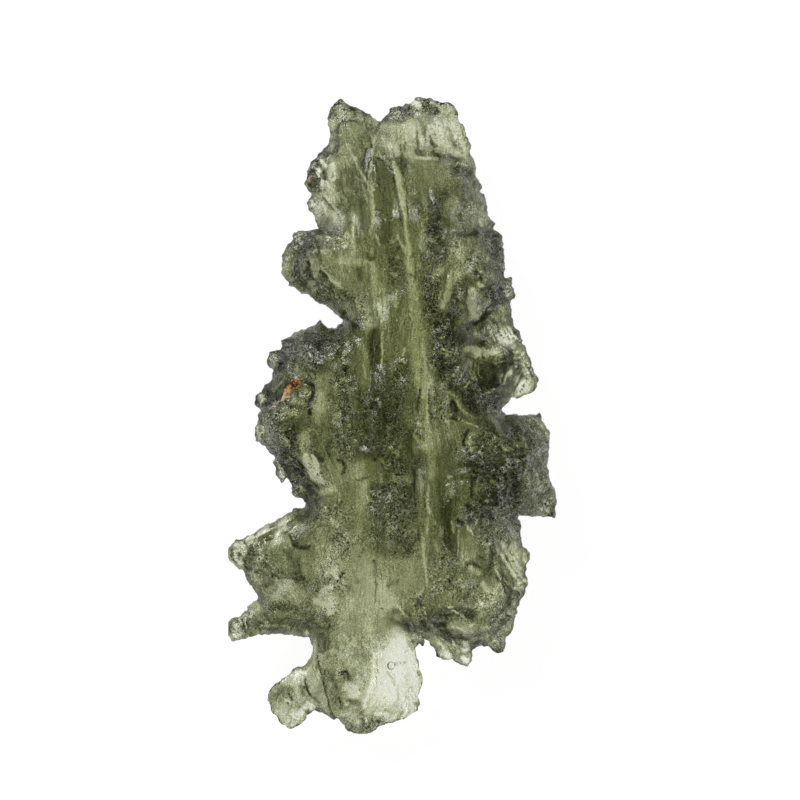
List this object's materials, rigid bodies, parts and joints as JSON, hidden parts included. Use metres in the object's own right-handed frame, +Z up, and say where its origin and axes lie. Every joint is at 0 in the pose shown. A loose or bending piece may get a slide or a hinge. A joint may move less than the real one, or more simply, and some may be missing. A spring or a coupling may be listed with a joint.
{
  "type": "moldavite",
  "caption": "Flat elongated piece of natural green tektite glass, deeply etched, with long flutes, pitted side lobes, spikes and thin clear edges.",
  "frame": {"origin": "on the surface that the stone rests on, under the middle of its bounding box", "axes": "+Z up from that surface, +Y along the stone towards its two-peaked end, +X across it"},
  "size_m": [0.0182, 0.0352, 0.0058],
  "materials": {
    "moldavite_glass": "glossy natural glass, etched with flutes and pits"
  },
  "bodies": {
    "root": {"moldavite": "moldavite_glass"}
  },
  "joints": []
}
